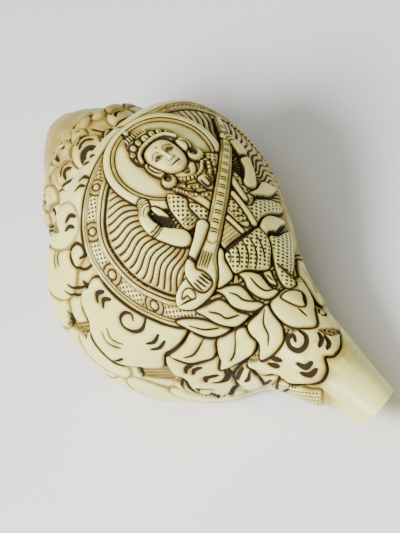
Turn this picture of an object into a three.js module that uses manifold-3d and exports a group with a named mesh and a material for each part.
// A carved conch shell: the heavy body whorl of a sacred chank with its short spire and its spout sawn off
// square. The shell coils round one axis and turns to the right. The back of the body whorl carries a round
// medallion in low relief, with a seated lute player in front of a halo, on a seat of lotus petals, and banks
// of cloud scallops fill the rest. The shell is one piece, so it is one mesh. It lies on its mouth, on two
// small flats ground on the lip and on the belly.
import * as THREE from "three";
import { mergeVertices } from "three/addons/utils/BufferGeometryUtils.js";
import Module from "manifold-3d";

// Driving dimensions, in millimetres. x runs along the coiling axis, from the tip of the spire to the spout.
const SPOUT_END = 165;
const SPIRE_TIP = 8;
const WIDEST = 86;
const SPIRE_DOME_RADIUS = 35;
const GROWTH_PER_TURN = 1.7;
const WHORL_COUNT = 4;
// The whorl's outline at the lip: distance along the axis, and radius from it.
const OUTLINE = [
  [46, 0], [50, 10.4], [60, 46], [72, 52], [WIDEST, 53],
  [96, 50.7], [112, 39.5], [130, 20], [148, 12], [SPOUT_END, 7.2],
];
// The pillar in the middle, which thins towards the spout.
const PILLAR = [[90, 40], [102, 26], [115, 13], [130, 7], [148, 4.2], [SPOUT_END + 4, 2.8]];
const LIP_WALL = 3;
const BODY_WALL = 4.5;
const SPOUT_WALL = 2.4;
const MOUTH_TURN_BACK = rad(35); // how far past the lip the mouth's cut runs
const HOLLOW_TURN = rad(235); // how far the hollow goes in behind the lip
const SPOUT_HOLLOW_TURN = rad(75);
const SAW_SLANT = rad(30); // how far the sawn end is from square
const SAW_ANGLE = rad(62); // the side of the spout that is left longest

// How the shell lies: angles of its axis and of its lip, and where the axis point at AXIS_X sits.
const LIP_ANGLE = rad(-61.5);
const ROLL = rad(26);
const PITCH = rad(10.3);
const AXIS_X = 80;
const REST = new THREE.Vector3(-8.80, 6.22, 29.03);

// The carving is drawn on the back of the body whorl, in a chart of millimetres: across runs round the shell
// and up runs towards the spire. Its middle is on the back at BACK_ANGLE.
const BACK_ANGLE = rad(80);
const CHART_X = 80;

function rad(degrees) {
  return (degrees * Math.PI) / 180;
}

const clamp = (v, low, high) => Math.min(high, Math.max(low, v));

function ease(from, to, v) {
  const t = clamp((v - from) / (to - from), 0, 1);
  return t * t * (3 - 2 * t);
}

const mix = (a, b, t) => a + (b - a) * t;

// A curve through points that never overshoots them (monotone cubic), as a function.
function curveThrough(points) {
  const xs = points.map((p) => p[0]);
  const ys = points.map((p) => p[1]);
  const last = xs.length - 1;
  const step = xs.slice(1).map((x, i) => x - xs[i]);
  const rise = ys.slice(1).map((y, i) => (y - ys[i]) / step[i]);
  const slope = xs.map((_, i) => {
    if (i === 0) return rise[0];
    if (i === last) return rise[last - 1];
    if (rise[i - 1] * rise[i] <= 0) return 0;
    const before = 2 * step[i] + step[i - 1];
    const after = step[i] + 2 * step[i - 1];
    return (before + after) / (before / rise[i - 1] + after / rise[i]);
  });
  return (x) => {
    const at = clamp(x, xs[0], xs[last]);
    let i = 0;
    while (i < last - 1 && at > xs[i + 1]) i++;
    const t = (at - xs[i]) / step[i];
    const u = 1 - t;
    return (
      ys[i] * (1 + 2 * t) * u * u + slope[i] * step[i] * t * u * u +
      ys[i + 1] * t * t * (3 - 2 * t) - slope[i + 1] * step[i] * t * t * u
    );
  };
}

const outline = curveThrough(OUTLINE);
const pillar = curveThrough(PILLAR);
const growth = (turn) => Math.pow(GROWTH_PER_TURN, -turn / (2 * Math.PI));

// Radius of the body whorl at x, turned back from the lip by turn. Its base runs out to the same spout all round.
function bodyRadius(x, turn) {
  const scale = growth(turn);
  const widest = scale * WIDEST;
  if (x / scale < OUTLINE[0][0]) return 0;
  if (x <= widest) return scale * outline(x / scale);
  const down = (x - widest) / (SPOUT_END - widest);
  const fade = mix(scale, 1, ease(0.35, 0.95, down));
  return fade * outline(mix(WIDEST, SPOUT_END, down));
}

// Radius of an older whorl, which is the outline again, smaller.
function spireRadius(x, turn) {
  const scale = growth(turn);
  return x / scale < OUTLINE[0][0] || x / scale > SPOUT_END ? 0 : scale * outline(x / scale);
}

// Radius of the plain shell before carving. The oldest whorls are worn to a smooth dome.
function shellRadius(x, turn) {
  let radius = bodyRadius(x, turn);
  for (let n = 1; n <= WHORL_COUNT; n++) radius = Math.max(radius, spireRadius(x, turn + 2 * Math.PI * n));
  const dome = Math.sqrt(Math.max(0, 2 * SPIRE_DOME_RADIUS * (x - SPIRE_TIP)));
  radius = Math.max(radius, 0.55 * dome * ease(50, 25, x));
  return x < SPIRE_TIP + 2 * SPIRE_DOME_RADIUS ? Math.min(radius, dome) : radius;
}

// Length along the shell's back from the spire's tip, sampled once and then looked up.
const backLength = (() => {
  const turn = BACK_ANGLE - LIP_ANGLE;
  const count = 200;
  const points = [];
  let length = 0;
  for (let i = 0; i <= count; i++) {
    const x = mix(SPIRE_TIP, SPOUT_END, i / count);
    const radius = shellRadius(x, turn);
    if (i > 0) length += Math.hypot(x - points[i - 1][0], radius - points[i - 1][2]);
    points.push([x, length, radius]);
  }
  return curveThrough(points);
})();

// Chart position of a point of the shell.
function chart(x, turn) {
  const across = shellRadius(x, turn) * (turn + LIP_ANGLE - BACK_ANGLE);
  return [across, backLength(CHART_X) - backLength(x)];
}

// Heights of the carving, in millimetres over the plain shell.
const STEP = 2; // how wide a carved edge is
const RING_MIDDLE = [
  [-38.5, -6], [-36.5, 2.5], [-32, 9], [-26, 14], [-19.5, 18], [-8, 23], [5, 26], [17, 26.5], [30, 24],
  [42, 15], [49, 2], [50, -11], [44, -25], [34, -36], [18, -43], [0, -45], [-18, -40], [-30, -30],
  [-35.5, -21.5], [-38.2, -14],
];
const RING = { half: 4.8, height: 1.1, trough: 0.55 };
const HALO = { at: [2.3, 9], radius: 19.4, height: 1.5, rim: 3.5, dish: 0.8 };
const FIELD = 0.3;
const FIGURE_HEIGHT = 2.5;
const PETAL_HEIGHT = 1.8;
const CLOUD_HEIGHT = 1.4;

// Figure and lute: bars with round ends, each [from, to, radius at from, radius at to, height].
const BARS = [
  [[2.8, 5], [2.8, 12], 6, 6.5, 1.0], // head
  [[1.5, 14], [-0.3, 22], 6, 1.2, 0.9], // crown
  [[-2.8, 0.8], [-3.4, 7], 2.8, 2, 0.75], // hair and earring, near side
  [[10.5, 3.4], [9.8, 9], 2.9, 2, 0.75], // hair and earring, far side
  [[3, -3], [4, -24], 7.5, 6, 0.5], // chest
  [[-6, -6], [-7, -15], 3.2, 3, 0.7], // sleeve
  [[-9.5, -16], [-16, -9], 2.8, 2.4, 0.85], // raised forearm
  [[-17, -6], [-14.5, -0.5], 2.2, 2, 0.95], // raised hand
  [[-4, -17], [-13, -21.5], 2.6, 2.2, 1.0], // plucking forearm
  [[-16, -24], [-16, -30.5], 2.4, 2.6, 1.1], // plucking hand
  [[12, -1], [18, -13], 3.5, 2.6, 0.7], // far upper arm
  [[19, -12], [25.5, -4], 2.6, 2, 0.85], // far forearm
  [[26.5, -1], [27.5, 6], 2.2, 2.2, 1.0], // hand on the neck
  [[18, -16], [28, -13], 1.8, 2.6, 0.7], // sash end
  [[-22.5, -29.5], [-14, -29], 5.5, 5.2, 0.8], // lute's bowl
  [[-12, -25.5], [31, 14.5], 2.7, 1.6, 0.95], // lute's neck
  [[-9, -29], [-10, -33], 4.5, 3, 0.65], // near knee
  [[0, -32], [9, -32], 5.5, 5, 0.55], // skirt
  [[13, -27], [23, -25.5], 2.4, 1.6, 0.8], // far foot
  [[20, -32], [9, -44], 6, 3.2, 0.6], // hanging leg
  [[4.5, -50], [5, -54], 3.4, 2.2, 0.75], // hanging foot
];

// Lotus petals: [root, tip, half width].
const PETALS = [
  [[-26, -42], [-48, -31], 4.6], [[-16, -50], [-40, -46], 4.6], [[-20, -45], [-34, -29], 3.2],
  [[-13, -47], [-24.5, -33], 3.8], [[-6, -48], [-14.5, -34], 4.2], [[1, -48.5], [-4, -35], 3.8],
  [[-5, -50], [-20, -57], 5.2], [[0, -47], [3, -64], 7.2], [[10, -44], [16, -60], 5],
];

// Cloud scallops: [across, up, radius].
const CLOUDS = [
  [-51, 17, 13], [-54, -7, 12], [-49, -22, 12], [-36, 22, 8], [-20, 29, 6], [-56, -38, 8], [-44, -50, 7],
  [-31, -60, 7], [-9, -67, 9.5], [3, -68, 7], [10, -63, 6], [-76, 15, 11], [-80, -8, 11], [-66, -16, 8],
  [-74, -30, 9], [-96, 6, 12], [-98, -16, 11], [26, -56, 8], [38, -46, 9], [54, -34, 10], [62, -16, 10],
  [66, 4, 11], [60, 24, 10], [78, -8, 10], [-8, 48, 8], [8, 48, 8], [-22, 50, 8], [-38, 46, 9], [22, 51, 8],
  [-15, 58, 6], [0, 57, 6], [13, 59, 6], [-28, 60, 6], [-11, 65, 5], [1, 65, 5], [10, 66, 4], [-20, 66, 5],
];

// A raised shape's height, from 0 outside its edge to 1, where inside is the distance in from the edge.
const raised = (inside) => ease(-STEP / 2, STEP / 2, inside);

const ringLine = new THREE.CatmullRomCurve3(RING_MIDDLE.map(([x, y]) => new THREE.Vector3(x, y, 0)), true)
  .getPoints(120);

// Distance from the middle line of the ring, and whether the point is within it.
function ringPlace([across, up]) {
  let near = Infinity;
  let within = false;
  for (let i = 0; i < ringLine.length - 1; i++) {
    const [a, b] = [ringLine[i], ringLine[i + 1]];
    near = Math.min(near, Math.hypot(across - a.x, up - a.y));
    if (a.y > up !== b.y > up && across < a.x + ((up - a.y) * (b.x - a.x)) / (b.y - a.y)) within = !within;
  }
  return { near, within };
}

function barHeight([from, to, r0, r1, height], p) {
  const along = [to[0] - from[0], to[1] - from[1]];
  const length2 = along[0] ** 2 + along[1] ** 2;
  const t = clamp(((p[0] - from[0]) * along[0] + (p[1] - from[1]) * along[1]) / length2, 0, 1);
  const off = Math.hypot(p[0] - from[0] - t * along[0], p[1] - from[1] - t * along[1]);
  const radius = mix(r0, r1, t);
  const crown = Math.sqrt(Math.max(0, 1 - (off / (radius + STEP)) ** 2));
  return height * raised(radius - off) * mix(0.65, 1, crown);
}

function petalHeight([root, tip, half], p) {
  const along = [tip[0] - root[0], tip[1] - root[1]];
  const length = Math.hypot(...along);
  const t = ((p[0] - root[0]) * along[0] + (p[1] - root[1]) * along[1]) / length ** 2;
  const off = Math.abs((p[0] - root[0]) * along[1] - (p[1] - root[1]) * along[0]) / length;
  if (t < -0.1 || t > 1.05) return 0;
  const width = half * Math.sqrt(Math.sin(Math.PI * clamp(0.12 + 0.88 * t, 0, 1)));
  return raised(width - off) * mix(1, 0.7, Math.min(1, off / half));
}

function cloudHeight(p) {
  return Math.max(...CLOUDS.map(([across, up, radius]) => {
    const off = Math.hypot(p[0] - across, p[1] - up);
    return raised(radius - off) * mix(1, 0.65, ease(-radius, radius, p[1] - up));
  }));
}

// Height of the whole carving at a point of the chart.
function carving(p) {
  const [across, up] = p;
  const { near, within } = ringPlace(p);
  const ring = raised(RING.half - near) - RING.trough * raised(RING.half - 2.4 - near);
  const halo = HALO.radius - Math.hypot(across - HALO.at[0], up - HALO.at[1]);
  let height = within ? FIELD : cloudHeight(p) * CLOUD_HEIGHT * (1 - raised(RING.half + 0.8 - near));
  height = Math.max(height, RING.height * ring);
  if (halo > -STEP) height = HALO.height * raised(halo) - HALO.dish * raised(halo - HALO.rim);
  height = Math.max(height, PETAL_HEIGHT * Math.max(...PETALS.map((one) => petalHeight(one, p))));
  height = Math.max(height, FIGURE_HEIGHT * Math.max(...BARS.map((bar) => barHeight(bar, p))));
  // The spire's tip and the spout are left plain.
  return height * ease(73, 69, up) * ease(-80, -76, up);
}

// Direction in which the carving stands out: mostly away from the axis, and forward over the spire.
function lean(x) {
  return rad(mix(mix(-48, 0, ease(SPIRE_TIP, 78, x)), 24, ease(88, 116, x)) * (1 - ease(128, 150, x)));
}

// Place of a shell point in its own frame, where the y and z axes cross the coiling axis.
function shellPoint(x, turn, radius, height = 0) {
  const tilt = lean(x);
  const out = radius + height * Math.cos(tilt);
  const angle = turn + LIP_ANGLE;
  const slant = Math.tan(SAW_SLANT) * ease(135, SPOUT_END, x) * out * Math.cos(angle - SAW_ANGLE);
  return [x + height * Math.sin(tilt) + slant, -out * Math.cos(angle), out * Math.sin(angle)];
}

// Values between stops, each [where it starts, how many steps to the next].
function spaced(stops) {
  const values = stops.slice(0, -1).flatMap(([from, count], i) =>
    Array.from({ length: count }, (_, j) => mix(from, stops[i + 1][0], j / count)));
  return [...values, stops[stops.length - 1][0]];
}

function geometryFrom(points, faces) {
  const geometry = new THREE.BufferGeometry();
  geometry.setAttribute("position", new THREE.Float32BufferAttribute(points.flat(), 3));
  geometry.setIndex(faces.flat());
  return geometry;
}

// The shell as if it were full, with a flat step at the lip.
function fullShell() {
  const rows = spaced([[SPIRE_TIP + 0.6, 4], [20, 10], [54, 35], [126, 6], [148, 2], [SPOUT_END, 0]]);
  const columns = spaced([[0, 11], [rad(92), 43], [rad(192), 15], [2 * Math.PI, 0]]);
  const width = columns.length;
  const points = [];
  const index = [];
  for (const x of rows) {
    const line = columns.map((turn, j) => {
      const shown = Math.min(turn, 2 * Math.PI - 1e-9);
      const radius = shellRadius(x, shown);
      if (j === width - 1 && Math.abs(radius - shellRadius(x, 0)) < 0.2) return -1;
      const height = carving(chart(x, shown)) * ease(0, rad(6), turn);
      points.push(shellPoint(x, shown, radius, height));
      return points.length - 1;
    });
    if (line[width - 1] < 0) line[width - 1] = line[0];
    index.push(line);
  }
  const faces = [];
  const add = (a, b, c) => {
    if (a !== b && b !== c && c !== a) faces.push([a, b, c]);
  };
  for (let i = 0; i < rows.length - 1; i++) {
    for (let j = 0; j < width; j++) {
      const k = (j + 1) % width;
      const [a, b, c, d] = [index[i][j], index[i + 1][j], index[i + 1][k], index[i][k]];
      add(a, b, c);
      add(a, c, d);
    }
  }
  const tip = points.push([SPIRE_TIP, 0, 0]) - 1;
  const end = points.push([SPOUT_END, 0, 0]) - 1;
  for (let j = 0; j < width; j++) {
    const k = (j + 1) % width;
    add(tip, index[0][j], index[0][k]);
    add(end, index[rows.length - 1][k], index[rows.length - 1][j]);
  }
  return geometryFrom(points, faces);
}

// Radius of the hollow's inner side: the older whorl, then the bare pillar. It is not above the outer wall.
const innerSide = (x, turn) => Math.min(bodyRadius(x, turn + 2 * Math.PI) + 0.35, pillar(x));

function outerSide(x, turn) {
  const wall = mix(mix(LIP_WALL, BODY_WALL, ease(0, rad(40), turn)), SPOUT_WALL, ease(110, 140, x));
  const beyond = 8 * ease(0, rad(-3), turn); // past the lip, the cut opens to the outside
  return bodyRadius(x, Math.max(turn, 0)) - wall + beyond * 2;
}

// The hollow behind the mouth: one section after another, each between the inner and the outer side.
function hollow() {
  const sections = 24;
  const side = 15;
  const points = [];
  for (let i = 0; i <= sections; i++) {
    const turn = mix(-MOUTH_TURN_BACK, HOLLOW_TURN, i / sections);
    const narrow = 1 - 0.85 * ease(HOLLOW_TURN - rad(70), HOLLOW_TURN, turn);
    const spoutReach = mix(SPOUT_END + 3, 122, ease(SPOUT_HOLLOW_TURN, SPOUT_HOLLOW_TURN + rad(60), turn));
    const gap = (x) => outerSide(x, turn) - innerSide(x, turn);
    let from = growth(Math.max(turn, 0)) * OUTLINE[1][0];
    while (gap(from) < 1.5 && from < WIDEST) from += 0.25;
    let to = from;
    while (to < spoutReach && gap(to) > 1.2) to += 0.5;
    const line = (top) => {
      for (let j = 0; j < side; j++) {
        const t = (top ? j : side - 1 - j) / (side - 1);
        const x = mix(from, to, t);
        const low = innerSide(x, turn);
        const high = low + gap(x) * narrow;
        points.push(shellPoint(x, turn, top ? high : low));
      }
    };
    line(true);
    line(false);
  }
  const ring = 2 * side;
  const faces = [];
  for (let i = 0; i < sections; i++) {
    for (let j = 0; j < ring; j++) {
      const k = (j + 1) % ring;
      const [a, b, c, d] = [i * ring + j, (i + 1) * ring + j, (i + 1) * ring + k, i * ring + k];
      faces.push([a, c, b], [a, d, c]);
    }
  }
  for (const [first, turned] of [[0, false], [sections * ring, true]]) {
    for (let j = 0; j < side - 1; j++) {
      const [a, b] = [first + j, first + j + 1];
      const [c, d] = [first + ring - 2 - j, first + ring - 1 - j];
      faces.push(turned ? [a, b, c] : [a, c, b], turned ? [a, c, d] : [a, d, c]);
    }
  }
  return geometryFrom(points, faces);
}

// From the shell's own frame to how it lies.
const placing = new THREE.Matrix4()
  .makeTranslation(REST)
  .multiply(new THREE.Matrix4().makeRotationY(PITCH))
  .multiply(new THREE.Matrix4().makeRotationX(-ROLL))
  .multiply(new THREE.Matrix4().makeTranslation(-AXIS_X, 0, 0));

const wasm = await Module();
wasm.setup();

function solid(geometry) {
  const bare = new THREE.BufferGeometry().setAttribute("position", geometry.getAttribute("position").clone());
  bare.setIndex(geometry.index.clone());
  const merged = mergeVertices(bare, 1e-4);
  return new wasm.Manifold(new wasm.Mesh({
    numProp: 3,
    vertProperties: merged.attributes.position.array,
    triVerts: new Uint32Array(merged.index.array),
  }));
}

function toGeometry(manifold) {
  const mesh = manifold.getMesh();
  const geometry = new THREE.BufferGeometry();
  geometry.setAttribute("position", new THREE.BufferAttribute(mesh.vertProperties, 3));
  geometry.setIndex(new THREE.BufferAttribute(mesh.triVerts, 1));
  geometry.computeVertexNormals();
  return geometry;
}

// What is ground off underneath, so that the shell lies on flats at z = 0.
function floorCut() {
  const size = 400;
  return new THREE.BoxGeometry(size, size, size).translate(0, 0, -size / 2);
}

const carved = solid(fullShell().applyMatrix4(placing))
  .subtract(solid(hollow().applyMatrix4(placing)))
  .subtract(solid(floorCut()));

const shellMaterial = new THREE.MeshStandardMaterial({ color: 0xe9dfbd, roughness: 0.38, metalness: 0 });

const conch = new THREE.Group();
const shell = new THREE.Mesh(toGeometry(carved), shellMaterial);
shell.name = "conch_shell";
conch.add(shell);

export default conch;
